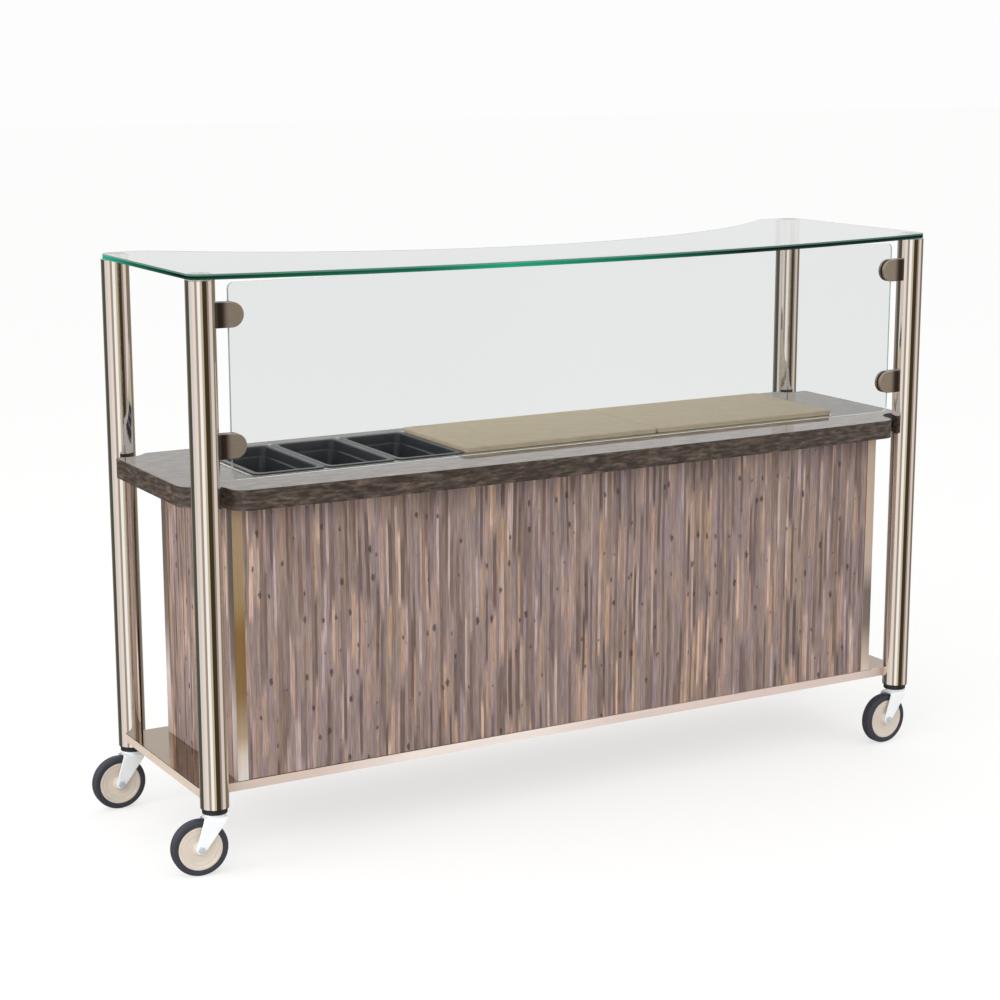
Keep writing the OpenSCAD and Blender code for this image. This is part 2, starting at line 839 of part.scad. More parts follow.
module deck() {
    color("#8d8478")
    in_frame()
    difference() {
        translate([-rail_x, -rail_y, deck_z]) cube([2 * rail_x, 2 * rail_y, deck_t]);
        post_cuts(deck_z - 1, deck_t + 2);
    }
}

// Casters

module caster_collars() {
    pin_z = crown_z - face_gap;
    color("#202226")
    in_frame()
    at_posts() {
        translate([0, 0, collar_z]) cylinder(h = collar_h, d = collar_d);
        translate([0, 0, post_z - 2 - seat]) cylinder(h = 2, r = post_r - 0.5);
        translate([0, 0, post_z - seat]) cylinder(h = plug_len, r = post_r - post_wall - seat);
        translate([0, 0, pin_z - 1]) cylinder(h = collar_z - pin_z + 2, d = king_d);
        translate([0, 0, pin_z - king_d / 4]) cylinder(h = king_d / 4, d = 1.6 * king_d);
    }
}

// Places a caster under a post with its wheel trailing along +x
module at_caster(sx, sy, angle) {
    in_frame() translate([sx * px, sy * py, 0]) rotate([0, 0, angle]) children();
}

// Side view of a fork leg, with x along the trail and y up
module leg_outline() {
    axle = [trail, wheel_r];
    back = [race_d / 2 + 4, crown_z + fork_t];
    lead_high = [-race_d / 2, crown_z + fork_t];
    lead_low = [-race_d / 2 + 2, crown_z - 8];
    t_back = touch(back, axle, fork_end_r, 1);
    t_lead = touch(lead_low, axle, fork_end_r, -1);
    polygon([lead_high, lead_low, t_lead, axle, t_back, back]);
    translate(axle) circle(r = fork_end_r);
}

module fork(sx, sy, angle) {
    color("#dfe6ea")
    at_caster(sx, sy, angle)
    difference() {
        union() {
            for (m = [0, 1])
                mirror([0, m, 0])
                translate([0, leg_in + fork_t, 0])
                rotate([90, 0, 0])
                linear_extrude(fork_t) leg_outline();
            translate([-race_d / 2, -leg_in - fork_t / 2, crown_z]) cube([race_d + 4, 2 * leg_in + fork_t, fork_t]);
            translate([0, 0, race_z - 1]) cylinder(h = race_h - 2, d = race_d);
            translate([0, 0, race_z + race_h - 3]) cylinder(h = 3, d1 = race_d, d2 = race_d - 5);
        }
        translate([0, 0, crown_z - 1]) cylinder(h = race_h + fork_t + 2, d = king_d + 2 * running);
        translate([trail, 0, wheel_r]) rotate([90, 0, 0]) cylinder(h = 3 * leg_in, d = axle_d + 2 * running, center = true);
    }
}

module axle(sx, sy, angle) {
    side = leg_in + fork_t;
    color("#b8bcc0")
    at_caster(sx, sy, angle)
    translate([trail, 0, wheel_r])
    rotate([90, 0, 0]) {
        translate([0, 0, -side - axle_tail]) cylinder(h = 2 * side + axle_tail + seat, d = axle_d);
        translate([0, 0, side + seat]) cylinder(h = 0.55 * axle_d, d = 1.7 * axle_d, $fn = 6);
        translate([0, 0, -side - seat - 0.65 * axle_d])
            difference() {
                cylinder(h = 0.65 * axle_d, d = 1.7 * axle_d, $fn = 6);
                translate([0, 0, -1]) cylinder(h = axle_d, d = axle_d + 2 * running);
            }
    }
}

module hub(sx, sy, angle) {
    w = wheel_w / 2 - 1;
    color("#cdbf9e")
    at_caster(sx, sy, angle)
    translate([trail, 0, wheel_r])
    rotate([90, 0, 0])
    rotate_extrude()
    polygon([[axle_d / 2 + running, -hub_len / 2], [axle_d + 4, -hub_len / 2], [axle_d + 6, -w + 3],
             [hub_r - 9, -w + 3], [hub_r - 5, -w], [hub_r - seat, -w],
             [hub_r - seat, w], [hub_r - 5, w], [hub_r - 9, w - 3], [axle_d + 6, w - 3],
             [axle_d + 4, hub_len / 2], [axle_d / 2 + running, hub_len / 2]]);
}

module tyre(sx, sy, angle) {
    color("#3d4046")
    at_caster(sx, sy, angle)
    translate([trail, 0, wheel_r])
    rotate([90, 0, 0])
    rotate_extrude() {
        translate([hub_r, -wheel_w / 2]) square([tyre_t - tyre_shoulder, wheel_w]);
        translate([hub_r, -wheel_w / 2 + tyre_shoulder]) square([tyre_t, wheel_w - 2 * tyre_shoulder]);
        for (s = [-1, 1])
            translate([wheel_r - tyre_shoulder, s * (wheel_w / 2 - tyre_shoulder)]) circle(r = tyre_shoulder);
    }
}

post(-1, -1);  // post_front_left
post(1, -1);  // post_front_right
post(-1, 1);  // post_back_left
post(1, 1);  // post_back_right
post_caps();
bonding_pads();
glass_shelf();
guard_pane();
clamp(-1, 1);  // clamp_upper_left
clamp(-1, -1);  // clamp_lower_left
clamp(1, 1);  // clamp_upper_right
clamp(1, -1);  // clamp_lower_right
clamp_covers();
clamp_gaskets();
clamp_screws();
clamp_bolts();
countertop();
counter_edge_band();
counter_spacers();
counter_bolts();
pan_well();
well_dividers();
pan(0);  // pan_left
pan(1);  // pan_middle
pan(2);  // pan_right
cutting_board(1);  // cutting_board_middle
cutting_board(2);  // cutting_board_right
front_panel();
end_panel(-1);  // left_panel
end_panel(1);  // right_panel
corner_trim(-1, -1);  // trim_front_left
corner_trim(1, -1);  // trim_front_right
corner_trim(-1, 1);  // trim_back_left
corner_trim(1, 1);  // trim_back_right
inner_shelf();
shelf_battens();
shelf_support();
back_apron();
rail_long(-1);  // rail_front
rail_long(1);  // rail_back
rail_end(-1);  // rail_left
rail_end(1);  // rail_right
deck();
caster_collars();
fork(-1, -1, trail_front_left);  // fork_front_left
fork(1, -1, trail_front_right);  // fork_front_right
fork(-1, 1, trail_back_left);  // fork_back_left
fork(1, 1, trail_back_right);  // fork_back_right
axle(-1, -1, trail_front_left);  // axle_front_left
axle(1, -1, trail_front_right);  // axle_front_right
axle(-1, 1, trail_back_left);  // axle_back_left
axle(1, 1, trail_back_right);  // axle_back_right
hub(-1, -1, trail_front_left);  // hub_front_left
hub(1, -1, trail_front_right);  // hub_front_right
hub(-1, 1, trail_back_left);  // hub_back_left
hub(1, 1, trail_back_right);  // hub_back_right
tyre(-1, -1, trail_front_left);  // tyre_front_left
tyre(1, -1, trail_front_right);  // tyre_front_right
tyre(-1, 1, trail_back_left);  // tyre_back_left
tyre(1, 1, trail_back_right);  // tyre_back_right
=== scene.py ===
# Cooking cart: finishes, turned and pressed pieces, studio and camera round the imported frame, in metres.
import json
import math

import bmesh
import bpy
from mathutils import Matrix, Quaternion, Vector
from mathutils.geometry import convex_hull_2d


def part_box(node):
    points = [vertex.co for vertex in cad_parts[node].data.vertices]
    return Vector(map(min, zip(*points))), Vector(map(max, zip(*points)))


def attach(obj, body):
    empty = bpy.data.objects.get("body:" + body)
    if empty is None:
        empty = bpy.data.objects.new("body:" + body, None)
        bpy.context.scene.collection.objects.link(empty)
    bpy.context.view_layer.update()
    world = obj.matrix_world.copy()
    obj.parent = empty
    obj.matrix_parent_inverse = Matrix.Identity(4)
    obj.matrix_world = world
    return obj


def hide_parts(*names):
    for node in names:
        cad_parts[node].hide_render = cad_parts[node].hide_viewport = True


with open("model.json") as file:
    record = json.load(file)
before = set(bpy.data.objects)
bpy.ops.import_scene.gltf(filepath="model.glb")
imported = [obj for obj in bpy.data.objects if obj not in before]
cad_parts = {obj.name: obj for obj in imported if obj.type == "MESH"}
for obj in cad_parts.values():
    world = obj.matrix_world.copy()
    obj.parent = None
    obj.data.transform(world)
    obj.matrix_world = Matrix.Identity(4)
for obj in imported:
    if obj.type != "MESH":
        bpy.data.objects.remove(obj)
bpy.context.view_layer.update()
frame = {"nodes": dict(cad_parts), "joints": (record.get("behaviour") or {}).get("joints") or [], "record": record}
print("frame loaded:", len(frame["nodes"]), "nodes")

mm = 0.001
corners = ("front_left", "front_right", "back_left", "back_right")
joints = {joint["name"]: joint for joint in frame["joints"]}
multiply = {"data_type": "RGBA", "blend_type": "MULTIPLY"}
blend = {"data_type": "RGBA"}


# Materials: the tools that every finish uses

def linearColour(hexText):
    parts = [int(hexText[i:i + 2], 16) / 255 for i in (1, 3, 5)]
    return [c / 12.92 if c <= 0.04045 else ((c + 0.055) / 1.055) ** 2.4 for c in parts] + [1.0]


def addNode(tree, kind, inputs=None, stops=None, **settings):
    # one node: its settings, then each input as a link or a plain value, then the stops of a ramp
    node = tree.nodes.new("ShaderNode" + kind)
    for key, value in settings.items():
        setattr(node, key, value)
    for key, value in (inputs or {}).items():
        if isinstance(value, bpy.types.Node):
            value = next(output for output in value.outputs if output.enabled)
        if isinstance(value, bpy.types.NodeSocket):
            tree.links.new(value, node.inputs[key])
        else:
            node.inputs[key].default_value = linearColour(value) if isinstance(value, str) else value
    for i, (place, colour) in enumerate(stops or ()):
        ramp = node.color_ramp.elements
        stop = ramp[i] if i < 2 else ramp.new(place)
        stop.position = place
        stop.color = linearColour(colour) if isinstance(colour, str) else (colour, colour, colour, 1)
    return node


def newMaterial(name):
    # an empty material, with the object's own coordinates for its patterns
    material = bpy.data.materials.new(name)
    material.use_nodes = True
    tree = material.node_tree
    tree.nodes.clear()
    return material, tree, addNode(tree, "TexCoord").outputs["Object"]


noiseSpan = (0.3, 0.7)  # where the values of a noise texture mostly lie


def cloudy(tree, where, size, low, high, detail=3):
    # soft patches of a size in x, y and z, as a number that drifts from low to high
    place = addNode(tree, "Mapping", {"Vector": where, "Scale": [1 / s for s in size]})
    noise = addNode(tree, "TexNoise", {"Vector": place, "Scale": 1, "Detail": detail})
    return addNode(tree, "MapRange", {0: noise, 1: noiseSpan[0], 2: noiseSpan[1], 3: low, 4: high})


# Laminates

reedValues = {
    "strip": 7.2,                # width of a split reed, mm
    "wobble": 0.5,               # how far a reed strays sideways, in reed widths
    "bends": (0.13, 0.13, 0.4),  # size of its bends in x, y and z, m
    "length": 190,               # how long one shade runs along a reed, mm
    "starts": 57,                # how far the shades are shuffled from reed to reed, in lengths
    "taper": 0.55,               # how softly two shades meet, from 0 to 1
    "browns": ((0.0, "#5f504b"), (0.10, "#776661"), (0.26, "#887770"), (0.42, "#94837f"), (0.55, "#9b897f"),
               (0.66, "#998b8d"), (0.76, "#b09580"), (0.86, "#b3a19a"), (1.0, "#cdb9ac")),
    "tints": ((0.1, "#efe9f3"), (0.5, "#f5f1ec"), (0.9, "#fdefe2")),
    # size in x, y and z in m, darkest and lightest share; the first are fibres of about 0.3 mm, drawn 3 mm
    # wide so that they show, the second are bands along a few reeds
    "fibres": (((0.003, 0.003, 0.05), 0.78, 1.25), ((0.012, 0.012, 0.09), 0.93, 1.1)),
    "seam": (0.09, 0.86),        # half width of the seam between two reeds, in reed widths, and its shade
    "crown": 0.3,                # where a reed's crown is full, in reed widths from the seam
    "relief": 0.3,               # how far the crown lifts the film, mm
    "bump": 0.5, "roughness": 0.5, "IOR": 1.49,
}
knotValues = {
    "spacing": (34, 68),         # of the dark nodes across and along the reeds, mm
    "sizes": (-0.05, 0.13),      # of the smallest and the largest, in spacings; one below 0 doesn't show
    "spared": 0.25,              # share of the places where a node keeps the smallest size
    "dents": (0.004, 0.004, 0.009), "dentDepth": 0.05,  # in its outline: size in m and depth in spacings
    "blur": 0.03, "cover": 0.8, "brown": "#3f322f",
}


def knotCover(tree, where, across, along):
    # how far a point is covered by one of the dark nodes, from 0 to 1
    values = knotValues
    face = addNode(tree, "CombineXYZ", {0: across, 1: along})
    perMetre = [1 / (s * mm) for s in values["spacing"]]
    grid = addNode(tree, "Mapping", {"Vector": face, "Scale": perMetre + [1]})
    spot = addNode(tree, "TexVoronoi", {"Vector": grid, "Scale": 1}, voronoi_dimensions="2D")
    pick = addNode(tree, "SeparateColor", {0: spot.outputs["Color"]})
    small, large = values["sizes"]
    size = addNode(tree, "MapRange", {0: pick.outputs[1], 1: values["spared"], 2: 1, 3: small, 4: large})
    depth, blur = values["dentDepth"], values["blur"]
    dents = cloudy(tree, where, values["dents"], -depth, depth, detail=2)
    size = addNode(tree, "Math", {0: size, 1: dents}, operation="ADD")
    beyond = addNode(tree, "Math", {0: spot.outputs["Distance"], 1: size}, operation="SUBTRACT")
    return addNode(tree, "MapRange", {0: beyond, 1: -blur, 2: blur, 3: values["cover"], 4: 0})


def reedLaminate():
    # split reed pressed under a clear satin film: narrow upright strips of many browns, with dark nodes
    values = reedValues
    material, tree, where = newMaterial("reedLaminate")
    axes = addNode(tree, "SeparateXYZ", {0: where})
    # the front runs along x and the ends along y, so their sum counts reeds on both
    across = addNode(tree, "Math", {0: axes.outputs["X"], 1: axes.outputs["Y"]}, operation="ADD")
    stray = cloudy(tree, where, values["bends"], -values["wobble"], values["wobble"], detail=1)
    perMetre = 1 / (values["strip"] * mm)
    strip = addNode(tree, "Math", {0: across, 1: perMetre, 2: stray}, operation="MULTIPLY_ADD")
    reed = addNode(tree, "TexVoronoi", {"W": strip, "Scale": 1}, voronoi_dimensions="1D")
    edge = addNode(tree, "TexVoronoi", {"W": strip, "Scale": 1}, voronoi_dimensions="1D",
                   feature="DISTANCE_TO_EDGE")
    # shades along each reed, from a start of its own
    pick = addNode(tree, "SeparateColor", {0: reed.outputs["Color"]})
    start = addNode(tree, "Math", {0: pick, 1: values["starts"]}, operation="MULTIPLY")
    perMetre = 1 / (values["length"] * mm)
    run = addNode(tree, "Math", {0: axes.outputs["Z"], 1: perMetre, 2: start}, operation="MULTIPLY_ADD")
    piece = addNode(tree, "TexVoronoi", {"W": run, "Scale": 1, "Smoothness": values["taper"]},
                    voronoi_dimensions="1D", feature="SMOOTH_F1")
    tone = addNode(tree, "SeparateColor", {0: piece.outputs["Color"]})
    brown = addNode(tree, "ValToRGB", {0: tone.outputs[0]}, stops=values["browns"])
    tint = addNode(tree, "ValToRGB", {0: tone.outputs[2]}, stops=values["tints"])
    colour = addNode(tree, "Mix", {0: 1, 6: brown, 7: tint}, **multiply)
    for size, low, high in values["fibres"]:
        fibre = cloudy(tree, where, size, low, high, detail=2)
        colour = addNode(tree, "Mix", {0: 1, 6: colour, 7: fibre}, **multiply)
    width, shade = values["seam"]
    seam = addNode(tree, "MapRange", {0: edge, 1: 0, 2: width, 3: shade, 4: 1})
    colour = addNode(tree, "Mix", {0: 1, 6: colour, 7: seam}, **multiply)
    knot = knotCover(tree, where, across, axes.outputs["Z"])
    colour = addNode(tree, "Mix", {0: knot, 6: colour, 7: knotValues["brown"]}, **blend)
    crown = addNode(tree, "MapRange", {0: edge, 1: 0, 2: values["crown"], 3: 0, 4: 1},
                    interpolation_type="SMOOTHSTEP")
    relief = values["relief"] * mm
    bump = addNode(tree, "Bump", {"Height": crown, "Distance": relief, "Strength": values["bump"]})
    shader = addNode(tree, "BsdfPrincipled", {
        "Base Color": colour,
        "Roughness": values["roughness"],
        "IOR": values["IOR"],
        "Normal": bump})
    addNode(tree, "OutputMaterial", {0: shader})
    return material


# fleck is the size of one dark fleck of the print in x, y and z, in mm
woodValues = {
    # high-pressure laminate pressed against a gloss plate: a smoked wood print under a wet-looking shine
    "topLaminate": {"fleck": (50, 12, 50), "roughness": 0.05,
                    "shades": ("#2b2320", "#3d332f", "#50453f", "#665750", "#8a766a")},
    # the same print as a satin edge band, with short flecks along the edge
    "edgeLaminate": {"fleck": (30, 30, 7), "roughness": 0.35,
                     "shades": ("#30271f", "#3a2f2a", "#453c34", "#53473f", "#695a4e")},
    # melamine-faced chipboard: a dull grey-brown print with a faint grain
    "melamineBoard": {"fleck": (200, 20, 200), "roughness": 0.5,
                      "shades": ("#6a6059", "#746a63", "#7d736b", "#867b73", "#90857c")},
    # planed pine: pale yellow wood with long soft growth lines
    "pineBatten": {"fleck": (150, 12, 12), "roughness": 0.6,
                   "shades": ("#a4845c", "#b2926a", "#bd9d75", "#c7a983", "#d2b692")},
}

grainValues = {
    "places": (0.30, 0.42, 0.50, 0.58, 0.70),  # where the five shades lie in the noise, from dark to light
    "clouds": (4, 0.86, 1.12), "pores": (1 / 3, 0.92, 1.06),  # size in flecks, darkest and lightest share
    "detail": 3, "roughness": 0.6,             # of the noise
}


def wood(name):
    values = woodValues[name]
    material, tree, where = newMaterial(name)
    fleck = [size * mm for size in values["fleck"]]
    grain = addNode(tree, "Mapping", {"Vector": where, "Scale": [1 / size for size in fleck]})
    grain = addNode(tree, "TexNoise", {"Vector": grain, "Scale": 1, "Detail": grainValues["detail"],
                                       "Roughness": grainValues["roughness"]})
    colour = addNode(tree, "ValToRGB", {0: grain}, stops=zip(grainValues["places"], values["shades"]))
    for key in ("clouds", "pores"):
        share, low, high = grainValues[key]
        patch = cloudy(tree, where, [size * share for size in fleck], low, high, detail=2)
        colour = addNode(tree, "Mix", {0: 1, 6: colour, 7: patch}, **multiply)
    shader = addNode(tree, "BsdfPrincipled", {
        "Base Color": colour,
        "Roughness": values["roughness"],
        "IOR": 1.5})
    addNode(tree, "OutputMaterial", {0: shader})
    return material


# Stainless steel

# grain is the size of a polishing line in x, y and z and depth its relief, both in mm; shift is its change of
# shade; the real 0.1 mm lines are drawn coarser, so that they show
steelValues = {
    # bright drawn tube, polished: it mirrors the room as sharp upright stripes
    "polishedTube": {"colour": "#f1ece6", "metallic": 1.0, "roughness": 0.05, "grain": (3.5, 3.5, 400),
                     "shift": 0.03, "depth": 0.01},
    # turned cap: a soft grey shine
    "turnedCap": {"colour": "#c3beb8", "metallic": 1.0, "roughness": 0.25, "grain": (4, 4, 4),
                  "shift": 0.05, "depth": 0.03},
    # drawn well: a satin sheen along its length
    "drawnWell": {"colour": "#d9d5ce", "metallic": 1.0, "roughness": 0.24, "grain": (350, 2.5, 2.5),
                  "shift": 0.05, "depth": 0.02},
    # folded angle, brushed upright: a soft shine; its colour carries painted reflections and painted shade that
    # warm and cool along its height
    "brushedAngle": {"metallic": 0.4, "roughness": 0.34, "grain": (1.6, 1.6, 250),
                     "shift": 0.06, "depth": 0.03},
    # square tube, brushed along: a broad pale shine without a clear image, with a painted highlight in its colour
    # along its length
    "brushedRail": {"metallic": 0.2, "roughness": 0.35, "grain": (200, 2, 2), "shift": 0.04, "depth": 0.03},
    # cold-rolled deck sheet: a brown mirror of the panels that stand on it
    "mirrorSheet": {"metallic": 1.0, "roughness": 0.09, "grain": (400, 4, 4), "shift": 0.05, "depth": 0.01},
}

# patches of more and less shine: size in grains, least and most share of the roughness; bump is its strength
patchValues = {"size": 1.7, "low": 0.8, "high": 1.25, "bump": 0.5}


def steel(name, tone=None):
    # tone builds the colour where it changes over the piece: painted reflections and shade on the angles, a
    # painted highlight on the rail, and on the deck a pale lip partly painted light
    values = steelValues[name]
    material, tree, where = newMaterial(name)
    grain = [size * mm for size in values["grain"]]
    lines = cloudy(tree, where, grain, 1 - values["shift"], 1 + values["shift"], detail=2)
    patch = [size * patchValues["size"] for size in grain]
    low, high = values["roughness"] * patchValues["low"], values["roughness"] * patchValues["high"]
    rough = cloudy(tree, where, patch, low, high, detail=2)
    colour = tone(tree, where) if tone else values["colour"]
    depth, bump = values["depth"] * mm, patchValues["bump"]
    shader = addNode(tree, "BsdfPrincipled", {
        "Base Color": addNode(tree, "Mix", {0: 1, 6: colour, 7: lines}, **multiply),
        "Metallic": values["metallic"],
        "Roughness": rough,
        "Normal": addNode(tree, "Bump", {"Height": lines, "Distance": depth, "Strength": bump})})
    addNode(tree, "OutputMaterial", {0: shader})
    return material


# painted reflections and painted shade on the brushed angles: colour by height for the front left, the front right
# and the side faces, in place of what the angles mirror
paintedAngleSheen = {  # shades from the foot of the angle to its head
    "frontLeft": ((0.0, "#fffaf4"), (0.09, "#fbe9d9"), (0.16, "#cdb497"), (0.32, "#9d7d52"),
                  (0.54, "#9a7746"), (0.66, "#b69a6e"), (1.0, "#c2a88b")),
    "frontRight": ((0.0, "#f4e2d4"), (0.10, "#cdbbad"), (0.2, "#8d7f75"), (0.34, "#85796f"),
                   (0.46, "#d3bfb1"), (0.7, "#d9c1ac"), (1.0, "#cdbba4")),
    "sides": ((0.0, "#c9bcb2"), (0.10, "#ead9d3"), (0.24, "#f6e6e2"), (0.34, "#cdbdb6"),
              (0.45, "#94877f"), (0.7, "#786d66"), (1.0, "#736b64")),
    "middle": 10,          # half width of the strip where left passes into right, mm; no angle stands in it
    "turned": (0.6, 0.8),  # how far a face has to look sideways to take the shades of the sides
}


def paintedAngleTone(tree, where):
    # paints the angles' reflections and shade into their colour, by height and by the way a face looks
    low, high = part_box("trim_front_left")
    axes = addNode(tree, "SeparateXYZ", {0: where})
    rise = addNode(tree, "MapRange", {0: axes.outputs["Z"], 1: low.z, 2: high.z, 3: 0, 4: 1})
    left, right, sides = [addNode(tree, "ValToRGB", {0: rise}, stops=paintedAngleSheen[key])
                          for key in ("frontLeft", "frontRight", "sides")]
    middle = paintedAngleSheen["middle"] * mm
    half = addNode(tree, "MapRange", {0: axes.outputs["X"], 1: -middle, 2: middle, 3: 0, 4: 1})
    front = addNode(tree, "Mix", {0: half, 6: left, 7: right}, **blend)
    facing = addNode(tree, "SeparateXYZ", {0: addNode(tree, "TexCoord").outputs["Normal"]})
    sideways = addNode(tree, "Math", {0: facing}, operation="ABSOLUTE")
    start, full = paintedAngleSheen["turned"]
    side = addNode(tree, "MapRange", {0: sideways, 1: start, 2: full, 3: 0, 4: 1})
    return addNode(tree, "Mix", {0: side, 6: front, 7: sides}, **blend)


# painted highlight along the rail: its colour from the left end of the cart to the right
paintedRailSheen = ((0.0, "#dfcdbd"), (0.15, "#e9d3c8"), (0.27, "#fff2ea"), (0.43, "#fff4ec"), (0.55, "#f0dcd3"),
              (1.0, "#e6d1c7"))


def paintedRailTone(tree, where):
    # paints the rail's highlight into its colour along x
    low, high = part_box("deck")
    along = addNode(tree, "SeparateXYZ", {0: where})
    share = addNode(tree, "MapRange", {0: along, 1: low.x, 2: high.x, 3: 0, 4: 1})
    return addNode(tree, "ValToRGB", {0: share}, stops=paintedRailSheen)


# sheet is the deck's own tint; lip is partly its brushed pale finish and partly painted light
deckShades = {"sheet": "#a39381", "lip": "#fff3ea"}


def deckToneAndLitLip(tree, where):
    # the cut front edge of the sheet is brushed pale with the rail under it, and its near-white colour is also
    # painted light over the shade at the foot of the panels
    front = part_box("front_panel")[0].y
    depth = addNode(tree, "SeparateXYZ", {0: where}).outputs["Y"]
    lip = addNode(tree, "MapRange", {0: depth, 1: front - mm, 2: front, 3: 1, 4: 0})
    return addNode(tree, "Mix", {0: lip, 6: deckShades["sheet"], 7: deckShades["lip"]}, **blend)


# Glass

shelfLow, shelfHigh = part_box("glass_shelf")
paneLow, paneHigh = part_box("guard_pane")
faceTurn = (0.35, 0.65)  # how squarely a normal stands on the sheet where the edge passes into the face
# thin is the axis across the sheet and span the run of the edge shades, in m; the edge shades are the glass's
# green with painted highlights and painted shade along the run; slant turns that run round the corners;
# arrisHighlightShare is the share of the painted highlight on the arrises over the height of the edge
glassValues = {
    # float glass with a ground edge: clear through the faces, deep green where the eye looks along the sheet
    "shelfGlass": {
        "face": "#c5cdd0", "thin": 2, "heights": (shelfLow.z, shelfHigh.z),
        "slant": -0.5, "span": (-1.14, 1.10),
        # the green of the glass, with painted highlights at the corners and painted shade between
        "edge": [(0.0, "#26957f"), (0.05, "#0f5038"), (0.11, "#03140b"), (0.2, "#05452c"), (0.36, "#0b5a3f"),
                 (0.46, "#1a9670"), (0.6, "#05654c"), (0.74, "#0a1814"), (1.0, "#0a2a20")],
        # painted highlight on the arrises at the head and the foot of the edge
        "arrisHighlight": "#74908a",
        "arrisHighlightShare": [(0.0, 0.15), (0.25, 0.08), (0.36, 0.0), (0.62, 0.0), (0.7, 0.5), (1.0, 0.6)],
        "edgeRoughness": 0.15, "edgeShine": 0.0},
    # toughened pane with a polished edge: nearly colourless, with a pale blue-green line round it
    "paneGlass": {
        "face": "#f0f2f2", "thin": 1, "heights": (paneLow.z, paneHigh.z),
        "slant": 0.0, "span": (-1.0, 1.0),
        "edge": [(0.0, "#bcc4cd"), (0.5, "#a3c4b6"), (1.0, "#b9cfc8")],
        # painted highlight along the pane's foot
        "arrisHighlight": "#d2f2e8", "arrisHighlightShare": [(0.0, 1.0), (0.02, 1.0), (0.03, 0.0), (1.0, 0.0)],
        "edgeRoughness": 0.15, "edgeShine": 0.5},
}


def glass(name):
    values = glassValues[name]
    material, tree, where = newMaterial(name)
    facing = addNode(tree, "SeparateXYZ", {0: addNode(tree, "TexCoord").outputs["Normal"]})
    level = addNode(tree, "Math", {0: facing.outputs[values["thin"]]}, operation="ABSOLUTE")
    edge = addNode(tree, "MapRange", {0: level, 1: faceTurn[0], 2: faceTurn[1], 3: 1, 4: 0})
    axes = addNode(tree, "SeparateXYZ", {0: where})
    run = addNode(tree, "Math", {0: axes.outputs["Y"], 1: values["slant"], 2: axes.outputs["X"]},
                  operation="MULTIPLY_ADD")
    left, right = values["span"]
    run = addNode(tree, "MapRange", {0: run, 1: left, 2: right, 3: 0, 4: 1})
    foot, head = values["heights"]
    rise = addNode(tree, "MapRange", {0: axes.outputs["Z"], 1: foot, 2: head, 3: 0, 4: 1})
    # the edge shades with their painted highlights and shade, then the painted highlight on the arrises
    tint = addNode(tree, "ValToRGB", {0: run}, stops=values["edge"])
    arrisHighlightShare = addNode(tree, "ValToRGB", {0: rise}, stops=values["arrisHighlightShare"])
    tint = addNode(tree, "Mix", {0: arrisHighlightShare, 6: tint, 7: values["arrisHighlight"]}, **blend)
    rough, shine = values["edgeRoughness"], values["edgeShine"]
    shader = addNode(tree, "BsdfPrincipled", {
        "Base Color": addNode(tree, "Mix", {0: edge, 6: values["face"], 7: tint}, **blend),
        "Roughness": addNode(tree, "MapRange", {0: edge, 1: 0, 2: 1, 3: 0, 4: rough}),
        "Transmission Weight": addNode(tree, "MapRange", {0: edge, 1: 0, 2: 1, 3: 1, 4: 0}),
        "Specular IOR Level": addNode(tree, "MapRange", {0: edge, 1: 0, 2: 1, 3: 0.5, 4: shine}),
        "IOR": 1.52})
    addNode(tree, "OutputMaterial", {0: shader})
    return material


# Cast, moulded and plated pieces

# grain is the size of the skin's fine bumps and depth their height, in mm
skinValues = {
    # cured silicone pad: milky and soft
    "clearSilicone": {"colour": "#dfe8e4", "roughness": 0.2, "grain": 4, "depth": 0.02},
    # moulded rubber: flat dark grey without a highlight
    "gasketRubber": {"colour": "#202022", "roughness": 0.7, "grain": 2, "depth": 0.1},
    "tyreRubber": {"colour": "#34353f", "roughness": 0.58, "grain": 2, "depth": 0.12},
    # blue-white zinc plate on steel: a pale dull shine
    "zincBolt": {"colour": "#cdd3d9", "roughness": 0.35, "grain": 3, "depth": 0.03, "metallic": 0.25},
    # the same plate on the pressed fork and its race: a pale plate whose colour is raised to near white as a
    # painted highlight for the glare on the fork
    "brightZinc": {"colour": "#fafdff", "roughness": 0.34, "grain": 6, "depth": 0.03, "metallic": 0.1,
                   "shift": 0.02},
    # injection-moulded nylon: black with a soft grain
    "blackNylon": {"colour": "#1b1c20", "roughness": 0.45, "grain": 2.5, "depth": 0.08},
    # cast nylon wheel centre: warm grey-white, waxy
    "castNylon": {"colour": "#d7cbbe", "roughness": 0.42, "grain": 4, "depth": 0.05, "shift": 0.04},
    # moulded polycarbonate: near-black with a clear gloss
    "blackPolycarbonate": {"colour": "#2b2f36", "roughness": 0.32, "grain": 20, "depth": 0.01, "IOR": 1.58},
    # planed polyethylene: tan and matt, scuffed
    "boardPolyethylene": {"colour": "#c2b398", "roughness": 0.6, "grain": 1.8, "depth": 0.1, "IOR": 1.51},
}

# clouds in the skin: size in m, change of shade, least and most share of the roughness; bump is its strength
skinDrift = {"patch": 0.03, "shift": 0.06, "low": 0.88, "high": 1.12, "bump": 0.35}


